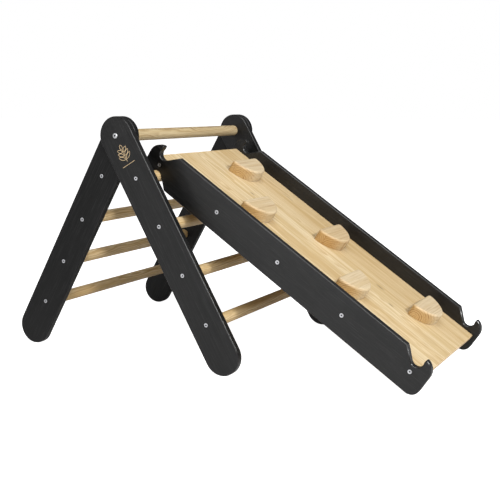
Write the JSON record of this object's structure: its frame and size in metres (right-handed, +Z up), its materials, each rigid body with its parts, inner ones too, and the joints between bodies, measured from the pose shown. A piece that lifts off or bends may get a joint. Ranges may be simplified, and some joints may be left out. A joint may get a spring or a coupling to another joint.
{
  "type": "toddler slide",
  "caption": "Folding wooden A-frame climber with black stained rails, round pine rungs and a hooked-on pine ramp with half-round climbing blocks.",
  "frame": {"origin": "on the floor, at the centre of the whole object's box", "axes": "+X towards the ramp's foot, +Y towards the left side, +Z up"},
  "size_m": [1.136, 0.6268, 0.6146],
  "materials": {
    "black_stained_wood": "satin black stain over planed wood, rounded edges",
    "deck_pine": "clear matt lacquer on edge-glued pine",
    "rung_pine": "clear matt lacquer on turned pine",
    "block_pine": "clear matt lacquer, sanded round edges",
    "zinc_steel": "bright zinc plate"
  },
  "bodies": {
    "front_ladder": {"front_rail_right": "black_stained_wood", "front_rung_screw_1_right": "zinc_steel", "front_rung_screw_2_right": "zinc_steel", "front_rung_screw_3_right": "zinc_steel", "front_rung_screw_4_right": "zinc_steel", "front_rail_left": "black_stained_wood", "front_rung_screw_1_left": "zinc_steel", "front_rung_screw_2_left": "zinc_steel", "front_rung_screw_3_left": "zinc_steel", "front_rung_screw_4_left": "zinc_steel", "front_rung_1": "rung_pine", "front_rung_2": "rung_pine", "front_rung_3": "rung_pine", "front_rung_4": "rung_pine", "top_bar": "rung_pine", "pivot_bolt_right": "zinc_steel", "pivot_bolt_left": "zinc_steel"},
    "rear_ladder": {"rear_rail_right": "black_stained_wood", "rear_rung_screw_1_right": "zinc_steel", "rear_rung_screw_2_right": "zinc_steel", "rear_rung_screw_3_right": "zinc_steel", "rear_rung_screw_4_right": "zinc_steel", "rear_rail_left": "black_stained_wood", "rear_rung_screw_1_left": "zinc_steel", "rear_rung_screw_2_left": "zinc_steel", "rear_rung_screw_3_left": "zinc_steel", "rear_rung_screw_4_left": "zinc_steel", "rear_rung_1": "rung_pine", "rear_rung_2": "rung_pine", "rear_rung_3": "rung_pine", "rear_rung_4": "rung_pine"},
    "ramp": {"ramp_deck": "deck_pine", "ramp_side_right": "black_stained_wood", "ramp_screw_1_right": "zinc_steel", "ramp_screw_2_right": "zinc_steel", "ramp_screw_3_right": "zinc_steel", "ramp_screw_4_right": "zinc_steel", "ramp_screw_5_right": "zinc_steel", "ramp_side_left": "black_stained_wood", "ramp_screw_1_left": "zinc_steel", "ramp_screw_2_left": "zinc_steel", "ramp_screw_3_left": "zinc_steel", "ramp_screw_4_left": "zinc_steel", "ramp_screw_5_left": "zinc_steel", "climbing_hold_1": "block_pine", "hold_screw_1_a": "zinc_steel", "hold_screw_1_b": "zinc_steel", "climbing_hold_2": "block_pine", "hold_screw_2_a": "zinc_steel", "hold_screw_2_b": "zinc_steel", "climbing_hold_3": "block_pine", "hold_screw_3_a": "zinc_steel", "hold_screw_3_b": "zinc_steel", "climbing_hold_4": "block_pine", "hold_screw_4_a": "zinc_steel", "hold_screw_4_b": "zinc_steel", "climbing_hold_5": "block_pine", "hold_screw_5_a": "zinc_steel", "hold_screw_5_b": "zinc_steel"}
  },
  "joints": [
    {"name": "frame_fold", "type": "hinge", "parent": "front_ladder", "child": "rear_ladder", "pos_m": [-0.22055, 0, 0.56712], "axis": [0, -1, 0], "range_deg": [0, 27.5]},
    {"name": "ramp_tilt", "type": "hinge", "parent": "front_ladder", "child": "ramp", "pos_m": [-0.1613, -0.002, 0.46449], "axis": [0, -1, 0], "range_deg": [0, 33.3]}
  ]
}
